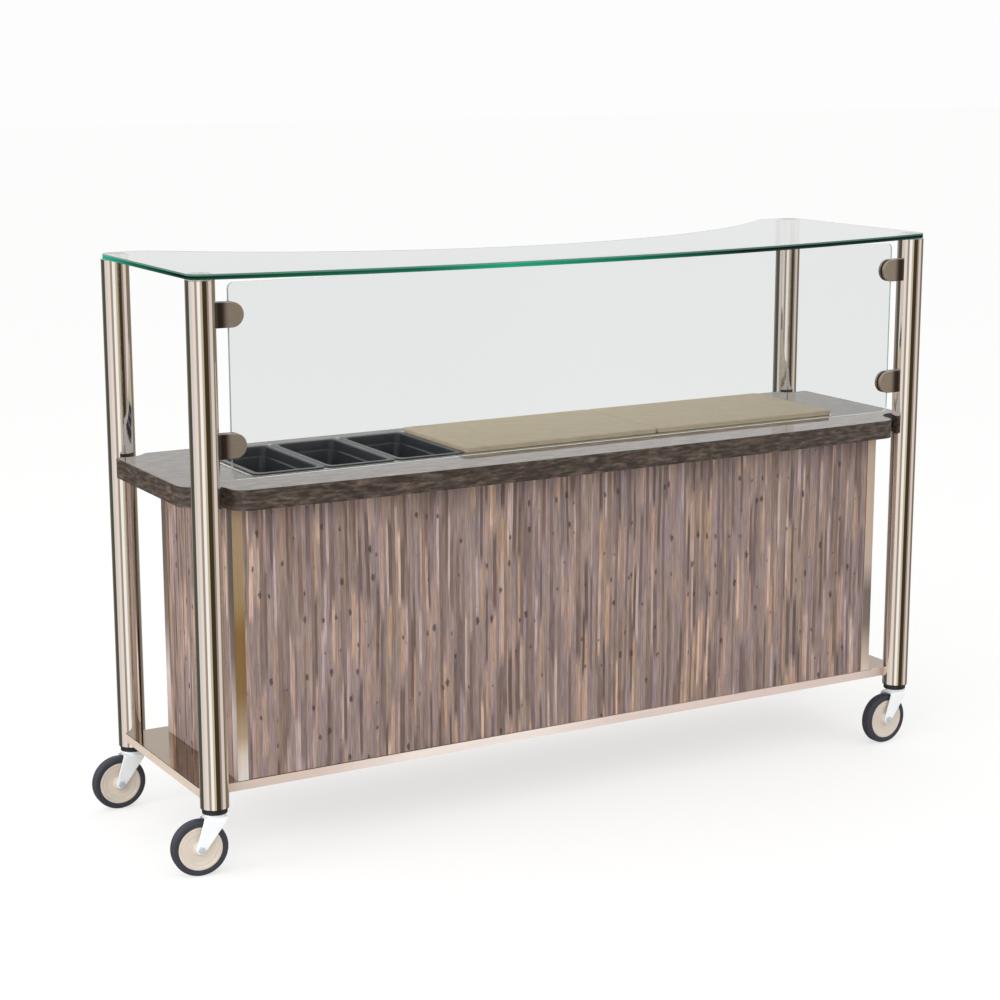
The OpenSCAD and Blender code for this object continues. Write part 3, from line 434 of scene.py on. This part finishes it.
def skin(name):
    values = skinValues[name]
    material, tree, where = newMaterial(name)
    shift = values.get("shift", skinDrift["shift"])
    drift = cloudy(tree, where, [skinDrift["patch"]] * 3, 1 - shift, 1 + shift)
    grain = addNode(tree, "TexNoise", {"Vector": where, "Scale": 1 / (values["grain"] * mm)})
    low, high = values["roughness"] * skinDrift["low"], values["roughness"] * skinDrift["high"]
    start, end = noiseSpan
    depth = values["depth"] * mm
    shader = addNode(tree, "BsdfPrincipled", {
        "Base Color": addNode(tree, "Mix", {0: 1, 6: values["colour"], 7: drift}, **multiply),
        "Metallic": values.get("metallic", 0.0),
        "Roughness": addNode(tree, "MapRange", {0: grain, 1: start, 2: end, 3: low, 4: high}),
        "IOR": values.get("IOR", 1.5),
        "Normal": addNode(tree, "Bump", {"Height": grain, "Distance": depth, "Strength": skinDrift["bump"]})})
    addNode(tree, "OutputMaterial", {0: shader})
    return material


clampValues = {
    "metallic": 0.6, "roughness": 0.34,
    "patch": (0.02, 0.02, 0.004), "shift": 0.06,  # size of the lacquer's clouds in m, and how far they go
    # painted shade, from the pane's end to the post: the colour darkens where the post's shade and dark reflection
    # fall
    "saddleShade": ((0.0, "#9a8d7c"), (0.15, "#95887a"), (0.32, "#74675b"), (0.5, "#3a2c23"), (0.8, "#2e221b"),
               (1.0, "#655b54")),
}


def lacqueredBronze():
    # die-cast jaw under bronze lacquer: a warm satin face, its colour darkened by painted shade towards the round
    # post
    values = clampValues
    material, tree, where = newMaterial("lacqueredBronze")
    side = addNode(tree, "Math", {0: addNode(tree, "SeparateXYZ", {0: where})}, operation="ABSOLUTE")
    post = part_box("clamp_upper_right")[1].x
    outward = addNode(tree, "MapRange", {0: side, 1: paneHigh.x, 2: post, 3: 0, 4: 1})
    colour = addNode(tree, "ValToRGB", {0: outward}, stops=values["saddleShade"])
    drift = cloudy(tree, where, values["patch"], 1 - values["shift"], 1 + values["shift"])
    shader = addNode(tree, "BsdfPrincipled", {
        "Base Color": addNode(tree, "Mix", {0: 1, 6: colour, 7: drift}, **multiply),
        "Metallic": values["metallic"],
        "Roughness": values["roughness"]})
    addNode(tree, "OutputMaterial", {0: shader})
    return material


finishes = {
    "polished_post": steel("polishedTube"),
    "steel_fitting": steel("turnedCap"),
    "well_steel": steel("drawnWell"),
    "trim_steel": steel("brushedAngle", paintedAngleTone),
    "rail_steel": steel("brushedRail", paintedRailTone),
    "deck_steel": steel("mirrorSheet", deckToneAndLitLip),
    "shelf_glass": glass("shelfGlass"),
    "pane_clear": glass("paneGlass"),
    "clear_bond": skin("clearSilicone"),
    "clamp_metal": lacqueredBronze(),
    "black_rubber": skin("gasketRubber"),
    "bolt_zinc": skin("zincBolt"),
    "black_plastic": skin("blackNylon"),
    "counter_laminate": wood("topLaminate"),
    "edge_wood": wood("edgeLaminate"),
    "inner_board": wood("melamineBoard"),
    "batten_wood": wood("pineBatten"),
    "reed_laminate": reedLaminate(),
    "pan_polycarbonate": skin("blackPolycarbonate"),
    "board_tan": skin("boardPolyethylene"),
    "fork_zinc": skin("brightZinc"),
    "wheel_centre": skin("castNylon"),
    "tyre_rubber": skin("tyreRubber"),
}
for part in frame["record"]["subparts"]:
    node = frame["nodes"][part["node"]]
    node.data.materials.clear()
    node.data.materials.append(finishes[part["material_slot"]])
print("finishes set:", len(finishes))


# Shaped pieces: the tools

sharpTurn = 38  # degrees; edges that turn further are shaded sharp


def addPiece(name, verts, faces, slot, body, replaced=()):
    mesh = bpy.data.meshes.new(name)
    mesh.from_pydata(verts, [], faces)
    mesh.materials.append(finishes[slot])
    work = bmesh.new()
    work.from_mesh(mesh)
    bmesh.ops.recalc_face_normals(work, faces=work.faces)
    work.to_mesh(mesh)
    work.free()
    mesh.shade_smooth()
    mesh.set_sharp_from_angle(angle=math.radians(sharpTurn))
    piece = bpy.data.objects.new(name, mesh)
    bpy.context.scene.collection.objects.link(piece)
    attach(piece, body)
    if replaced:
        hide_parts(*replaced)
    return piece


def reach(node, way, start):
    # how far a node spreads from a start point along a direction
    thing = frame["nodes"][node]
    spread = [(thing.matrix_world @ vertex.co - start).dot(way) for vertex in thing.data.vertices]
    return min(spread), max(spread)


flatTurn = 0.01  # corners that turn less, in radians, stay as they are
sideParts = 2.01  # an arc takes at most one part of a side, so that two arcs on one side stay apart


def filleted(points, radii, steps=5):
    # closed outline whose corners are rounded, each by its own radius
    result = []
    for i, corner in enumerate(points):
        here, before, after = Vector(corner), Vector(points[i - 1]), Vector(points[(i + 1) % len(points)])
        back, ahead = (before - here).normalized(), (after - here).normalized()
        turn = back.angle(ahead)
        if radii[i] <= 0 or turn > math.pi - flatTurn:
            result.append(tuple(here))
            continue
        room = min((before - here).length, (after - here).length) / sideParts
        run = min(radii[i] / math.tan(turn / 2), room)
        radius = run * math.tan(turn / 2)
        centre = here + (back + ahead).normalized() * (radius / math.sin(turn / 2))
        first, last = here + back * run - centre, here + ahead * run - centre
        for k in range(steps + 1):
            result.append(tuple(centre + first.slerp(last, k / steps).normalized() * radius))
    return result


def turned(outline, place, steps):
    # closed outline of (radius, height) turned about the local Z of place
    verts, faces = [], []
    count = len(outline)
    for s in range(steps):
        angle = 2 * math.pi * s / steps
        verts += [place @ Vector((r * math.cos(angle), r * math.sin(angle), h)) for r, h in outline]
        following = (s + 1) % steps
        for i in range(count):
            j = (i + 1) % count
            faces.append((s * count + i, s * count + j, following * count + j, following * count + i))
    return verts, faces


def bothSides(side, rounds):
    # one side of a wheel's section and the same on the other side, with their fillets
    outline = side + [(radius, -height) for radius, height in reversed(side)]
    rounds = [r * mm for r in rounds]
    return filleted(outline, rounds + rounds[::-1])


def roundedRing(centre, halfX, halfY, radius, height, steps=8):
    ring = []
    for signX, signY, start in ((1, 1, 0), (-1, 1, 90), (-1, -1, 180), (1, -1, 270)):
        for k in range(steps + 1):
            angle = math.radians(start + 90 * k / steps)
            ring.append((centre.x + signX * (halfX - radius) + radius * math.cos(angle),
                         centre.y + signY * (halfY - radius) + radius * math.sin(angle), height))
    return ring


def moulding(node, corner, section, rounds):
    # a section of (inset from the node's outline, height) carried round the node's rounded rectangle
    low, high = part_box(node)
    centre, half = (low + high) / 2, (high - low) / 2
    rings = [roundedRing(centre, half.x - inset, half.y - inset, corner, height)
             for inset, height in filleted(section, [r * mm for r in rounds], steps=4)]
    count = len(rings[0])
    verts = [point for ring in rings for point in ring]
    faces = [tuple(range(count)), tuple(range(len(verts) - count, len(verts)))]
    for r in range(len(rings) - 1):
        for i in range(count):
            j = (i + 1) % count
            faces.append((r * count + i, r * count + j, (r + 1) * count + j, (r + 1) * count + i))
    return verts, faces


# Wheels

# sizes in mm: foot and shoulder are the tread's cut corners, across the tyre and along its axle
tyreValues = {"foot": (4, 1), "shoulder": (3, 6), "rounds": (0.4, 1, 3, 6), "steps": 120}
centreValues = {
    "bore": 5.06, "seat": 0.2,
    "boss": ((11.5, 0), (14.5, 3.5)),                           # radius, and depth below the boss's end
    "web": ((16.5, 0), (31.5, 0.4), (35.5, 1.6), (41.5, 1.6)),  # radius, and height over the dish
    "dish": 4.5, "lip": 1.2, "lipStart": 44.5,  # depths below the tyre's side, and where the lip starts
    "rounds": (0.6, 1.2, 2, 3, 4, 2, 2, 1.2, 0.6), "steps": 120,
}


def wheelFrame(corner):
    # where the wheel turns, with its axle along the local Z
    joint = joints["wheel_" + corner + "_spin"]
    axle, axis = Vector(joint["pos_m"]), Vector(joint["axis"]).normalized()
    tip = Vector((0, 0, 1)).rotation_difference(axis).to_matrix().to_4x4()
    half = reach("tyre_" + corner, axis, axle)[1]
    boss = reach("hub_" + corner, axis, axle)[1]
    rim = reach("hub_" + corner, Vector((0, 0, 1)), axle)[1]
    return Matrix.Translation(axle) @ tip, axle.z, half, boss, rim


def tyreBand(corner):
    values = tyreValues
    place, tread, half, boss, rim = wheelFrame(corner)
    inner = rim + centreValues["seat"] * mm
    foot, shoulder = [[size * mm for size in values[key]] for key in ("foot", "shoulder")]
    side = [(inner, foot[1] - half), (inner + foot[0], -half),
            (tread - shoulder[0], -half), (tread, shoulder[1] - half)]
    band = turned(bothSides(side, values["rounds"]), place, values["steps"])
    addPiece("tyreBand_" + corner, *band, "tyre_rubber", "wheel_" + corner, ["tyre_" + corner])


def wheelCentre(corner):
    values = centreValues
    place, tread, half, boss, rim = wheelFrame(corner)
    dish, lip = half - values["dish"] * mm, half - values["lip"] * mm
    side = [(values["bore"] * mm, boss)]
    side += [(radius * mm, boss - depth * mm) for radius, depth in values["boss"]]
    side += [(radius * mm, dish + height * mm) for radius, height in values["web"]]
    side += [(values["lipStart"] * mm, lip), (rim, lip)]
    centre = turned(bothSides(side, values["rounds"]), place, values["steps"])
    addPiece("wheelCentre_" + corner, *centre, "wheel_centre", "wheel_" + corner, ["hub_" + corner])


# Forks, pressed from one sheet

# mm; gap lies between hub and leg, head is how far the leg's head reaches past the race, and race its height
forkValues = {"sheet": 3, "edge": 0.5, "gap": 0.75, "bend": 6.5, "head": 4, "race": 6}
leadCut = (2, 11)  # how the leading edge of the leg is cut back, along and down, mm
# steps and columns of the sheet's mesh; weld is in mm and sharp in degrees
forkGrid = {"outline": 96, "end": 8, "leg": 10, "bend": 6, "columns": 9, "weld": 0.02, "sharp": 50}
raceValues = {
    "bore": 6.2, "groove": 1.5,              # mm
    "flanks": ((1.6, 2.0), (2.4, 2.8)),      # heights where the groove opens and closes, in groove depths
    "rounds": (0, 0.3, 0.6, 0.4, 0.4, 0.6, 0.8, 0), "steps": 72,
}


def spanAt(outline, height):
    # where a level line enters and leaves an outline
    hits = []
    for (x0, z0), (x1, z1) in zip(outline, outline[1:] + outline[:1]):
        if z0 != z1 and min(z0, z1) <= height <= max(z0, z1):
            hits.append(x0 + (x1 - x0) * (height - z0) / (z1 - z0))
    return min(hits), max(hits)


def casterFrame(corner):
    # the foot of the swivel axis, and the ways along and across the fork
    swivel = Vector(joints["caster_" + corner + "_swivel"]["pos_m"])
    axle = Vector(joints["wheel_" + corner + "_spin"]["pos_m"])
    foot = Vector((swivel.x, swivel.y, 0))
    trail = Vector((axle.x, axle.y, 0)) - foot
    ahead = trail.normalized()
    return foot, ahead, Vector((-ahead.y, ahead.x, 0)), trail.length, axle.z


def forkSheet(corner):
    values = {key: size * mm for key, size in forkValues.items()}
    lead = [size * mm for size in leadCut]
    count = forkGrid
    foot, ahead, across, trail, axle = casterFrame(corner)
    race = reach("fork_" + corner, across, foot)[1]
    end = reach("fork_" + corner, ahead, foot)[1] - trail
    crown = reach("fork_" + corner, Vector((0, 0, 1)), foot)[1] - values["race"]
    mid = wheelFrame(corner)[3] + values["gap"] + values["sheet"] / 2
    angles = [2 * math.pi * k / count["outline"] for k in range(count["outline"])]
    points = [(trail + end * math.sin(a), axle - end * math.cos(a)) for a in angles]
    points += [(-race, crown), (lead[0] - race, crown - lead[1]), (race + values["head"], crown)]
    outline = [points[i] for i in convex_hull_2d(points)]
    top, bend = crown - values["sheet"] / 2, values["bend"]
    # the sheet's middle line: up one leg, over the bend to the crown, and down the other leg
    quarter = math.pi / 2
    heights = [axle - end * math.cos(quarter * k / count["end"]) for k in range(count["end"] + 1)]
    heights += [axle + (top - bend - axle) * k / count["leg"] for k in range(1, count["leg"] + 1)]
    path = [(mid, height) for height in heights]
    path += [(mid - bend + bend * math.cos(a), top - bend + bend * math.sin(a))
             for a in [quarter * k / count["bend"] for k in range(1, count["bend"] + 1)]]
    path += [(-side, height) for side, height in reversed(path)]
    columns = count["columns"]
    verts, faces = [], []
    for row, (side, height) in enumerate(path):
        near, far = spanAt(outline, height)
        for k in range(columns):
            forward = near + (far - near) * k / (columns - 1)
            verts.append(foot + ahead * forward + across * side + Vector((0, 0, height)))
            if row and k:
                a = row * columns + k
                faces.append((a - 1, a, a - columns, a - columns - 1))
    sheet = addPiece("forkSheet_" + corner, verts, faces, "fork_zinc", "caster_" + corner,
                     ["fork_" + corner])
    sheet.modifiers.new("closeEnds", "WELD").merge_threshold = count["weld"] * mm
    thick = sheet.modifiers.new("sheet", "SOLIDIFY")
    thick.thickness = values["sheet"]
    thick.offset = 0
    rim = sheet.modifiers.new("rim", "BEVEL")
    rim.width = values["edge"]
    rim.segments = 2
    rim.limit_method = "ANGLE"
    rim.angle_limit = math.radians(count["sharp"])


def swivelRace(corner):
    # the two ball-race cups over the fork, with the groove between them
    values = raceValues
    foot, ahead, across, trail, axle = casterFrame(corner)
    size = reach("fork_" + corner, across, foot)[1]
    high = reach("fork_" + corner, Vector((0, 0, 1)), foot)[1]
    low, groove, bore = high - forkValues["race"] * mm, values["groove"] * mm, values["bore"] * mm
    (opens, floorStart), (floorEnd, closes) = values["flanks"]
    floor = size - groove
    section = [(bore, low), (size, low), (size, low + opens * groove), (floor, low + floorStart * groove),
               (floor, low + floorEnd * groove), (size, low + closes * groove),
               (size - groove / 2, high), (bore, high)]
    section = filleted(section, [r * mm for r in values["rounds"]])
    race = turned(section, Matrix.Translation(foot), values["steps"])
    addPiece("swivelRace_" + corner, *race, "fork_zinc", "caster_" + corner)


for corner in corners:
    tyreBand(corner)
    wheelCentre(corner)
    forkSheet(corner)
    swivelRace(corner)
print("casters built:", len(corners))


# Pans and boards

# mm; the step is where one pan rests in another when they are stacked
panValues = {"corner": 16, "wall": 2.6, "ledge": 12, "rim": 2.6, "step": 4, "stepDepth": 24, "draft": 3.5,
             "floor": 10}
panRounds = (0, 9, 2, 2, 1, 0.8, 1.3, 3, 2, 2, 9, 0)  # mm, from the underside out, over the rim and in


def foodPan(name):
    values = {key: size * mm for key, size in panValues.items()}
    low, high = [edge.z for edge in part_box("pan_" + name)]
    wall, ledge = values["wall"], values["ledge"]
    rim = high - values["rim"]
    step = rim - values["stepDepth"]
    body = ledge + values["step"]
    foot = body + values["draft"]
    outside = [(foot + values["floor"], low), (foot, low), (body, step), (ledge, step), (ledge, rim),
               (0, rim), (0, high)]
    inside = [(ledge + wall, high), (ledge + wall, step + wall), (body + wall, step + wall),
              (foot + wall, low + wall), (foot + wall + values["floor"], low + wall)]
    pan = moulding("pan_" + name, values["corner"], outside + inside, panRounds)
    addPiece("foodPan_" + name, *pan, "pan_polycarbonate", "lift_pan_" + name, ["pan_" + name])


boardValues = {"corner": 10, "top": 12, "inset": 13.3}  # mm; inset is the step that drops into the well
boardRounds = (0, 1, 0, 2.2, 2.2, 0)


def board(name):
    values = {key: size * mm for key, size in boardValues.items()}
    node = "cutting_board_" + name
    low, high = [edge.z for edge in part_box(node)]
    inset, step = values["inset"], high - values["top"]
    middle = inset + values["corner"]
    section = [(middle, low), (inset, low), (inset, step), (0, step), (0, high), (middle, high)]
    slab = moulding(node, values["corner"], section, boardRounds)
    addPiece("board_" + name, *slab, "board_tan", "lift_" + node, [node])


for name in ("left", "middle", "right"):
    foodPan(name)
for name in ("middle", "right"):
    board(name)
print("pans and boards shaped")

# clear glass takes next to no light from what stands under it, and leaves the stripes on the tubes whole
for name in ("glass_shelf", "guard_pane"):
    frame["nodes"][name].visible_shadow = False
    frame["nodes"][name].visible_glossy = False


# Studio

studio = {
    "backdrop": "#fdfdfd", "overhead": "#f4f4f2", "sky": 0.9,
    "lamps": {  # place, width and power
        "keyLamp": ((-3.4, -3.6, 3.4), 3.0, 70),
        "fillLamp": ((3.2, -4.2, 2.6), 3.0, 30),
        "sideLamp": ((-4.6, -0.2, 1.8), 2.0, 66),
    },
    "aim": (0, 0, 0.6),
    # half its width, what it gives back to the cart, the part of its white that takes shadow, and the rest
    "floor": {"half": 40, "bounce": "#e6e6e4", "matt": "#a6a6a5", "glow": 0.64},
    # what a mirrored ray meets below the horizon, by compass heading with y as north: the tubes show it as
    # upright stripes
    "ring": ((0, "#8f8881"), (62, "#7d7661"), (103, "#e3d6cf"), (134, "#968c8c"), (150, "#433923"),
             (186, "#cbc0ab"), (202, "#ffffff"), (225, "#a89b8e"), (244, "#f1e6e0"), (270, "#dedad8"),
             (297, "#55554a"), (342, "#8f8881")),
    "blur": 1.5, "horizon": 0.05,  # half widths of the soft borders: between bands in degrees, and overhead
}


def addWorld():
    world = bpy.data.worlds.new("studio")
    bpy.context.scene.world = world
    world.use_nodes = True
    tree = world.node_tree
    tree.nodes.clear()
    ray = addNode(tree, "TexCoord").outputs["Generated"]
    # turned back, so that the bands below count from north
    back = addNode(tree, "VectorMath", {0: ray, 1: (-1, -1, -1)}, operation="MULTIPLY")
    axes = addNode(tree, "SeparateXYZ", {0: back})
    heading = addNode(tree, "Math", {0: axes.outputs["X"], 1: axes.outputs["Y"]}, operation="ARCTAN2")
    turn = addNode(tree, "MapRange", {0: heading, 1: -math.pi, 2: math.pi, 3: 0, 4: 1})
    bands, blur, horizon = studio["ring"], studio["blur"], studio["horizon"]
    stops = [(0, bands[0][1])]
    for (start, colour), (end, following) in zip(bands, bands[1:]):
        stops += [((end - blur) / 360, colour), ((end + blur) / 360, following)]
    ring = addNode(tree, "ValToRGB", {0: turn}, stops=stops)
    level = addNode(tree, "MapRange", {0: axes.outputs["Z"], 1: horizon, 2: -horizon, 3: 0, 4: 1})
    room = addNode(tree, "Mix", {0: level, 6: ring, 7: studio["overhead"]}, **blend)
    path = addNode(tree, "LightPath")
    # a ray bent through glass counts as glossy too, and that one sees the backdrop
    mirrored = addNode(tree, "Math", operation="SUBTRACT", inputs={
        0: path.outputs["Is Glossy Ray"], 1: path.outputs["Is Transmission Ray"]})
    seen = addNode(tree, "Mix", {0: mirrored, 6: studio["backdrop"], 7: room}, **blend)
    show = path.outputs["Is Camera Ray"]
    for kind in ("Is Glossy Ray", "Is Transmission Ray"):
        show = addNode(tree, "Math", {0: show, 1: path.outputs[kind]}, operation="MAXIMUM")
    light = addNode(tree, "Background", {0: "#ffffff", 1: studio["sky"]})
    view = addNode(tree, "Background", {0: seen})
    addNode(tree, "OutputWorld", {0: addNode(tree, "MixShader", {0: show, 1: light, 2: view})})


def addLamps():
    for name, (place, width, power) in studio["lamps"].items():
        light = bpy.data.lights.new(name, "AREA")
        light.shape = "SQUARE"
        light.size = width
        light.energy = power
        lamp = bpy.data.objects.new(name, light)
        bpy.context.scene.collection.objects.link(lamp)
        lamp.location = place
        lamp.rotation_euler = (Vector(studio["aim"]) - Vector(place)).to_track_quat("-Z", "Y").to_euler()
        lamp.visible_glossy = False  # metal mirrors the ring and not the lamps
        lamp.visible_camera = False
        lamp.visible_transmission = False


def addFloor():
    values = studio["floor"]
    half = values["half"]
    mesh = bpy.data.meshes.new("floor")
    verts = [(-half, -half, 0), (half, -half, 0), (half, half, 0), (-half, half, 0)]
    mesh.from_pydata(verts, [], [(0, 1, 2, 3)])
    floor = bpy.data.objects.new("floor", mesh)
    bpy.context.scene.collection.objects.link(floor)
    floor.visible_glossy = False
    paint = bpy.data.materials.new("floorPaint")
    paint.use_nodes = True
    tree = paint.node_tree
    tree.nodes.clear()
    path = addNode(tree, "LightPath")
    show = addNode(tree, "Math", operation="MAXIMUM", inputs={
        0: path.outputs["Is Camera Ray"], 1: path.outputs["Is Transmission Ray"]})
    plain = addNode(tree, "BsdfDiffuse", {0: values["bounce"]})
    shade = addNode(tree, "BsdfDiffuse", {0: values["matt"]})
    glow = addNode(tree, "Emission", {0: studio["backdrop"], 1: values["glow"]})
    lit = addNode(tree, "AddShader", {0: shade, 1: glow})
    addNode(tree, "OutputMaterial", {0: addNode(tree, "MixShader", {0: show, 1: plain, 2: lit})})
    mesh.materials.append(paint)


# fitted to the posts, panels and wheels; degrees, and mm for the lens and the sensor
viewFrom = {"place": (-2.6893, -4.5106, 1.7972), "heading": 29.737, "down": 11.806, "roll": -0.068,
            "lens": 79.73, "sensor": 36}


def addCamera():
    data = bpy.data.cameras.new("photoCamera")
    data.sensor_width = viewFrom["sensor"]
    data.lens = viewFrom["lens"]
    camera = bpy.data.objects.new("photoCamera", data)
    bpy.context.scene.collection.objects.link(camera)
    heading, down = math.radians(viewFrom["heading"]), math.radians(viewFrom["down"])
    level = math.cos(down)
    looking = Vector((math.sin(heading) * level, math.cos(heading) * level, -math.sin(down)))
    roll = Quaternion((0, 0, 1), math.radians(viewFrom["roll"]))
    camera.location = viewFrom["place"]
    camera.rotation_euler = (looking.to_track_quat("-Z", "Y") @ roll).to_euler()
    bpy.context.scene.camera = camera


addWorld()
addLamps()
addFloor()
addCamera()
bpy.context.scene.view_settings.view_transform = "Standard"
print("studio ready")
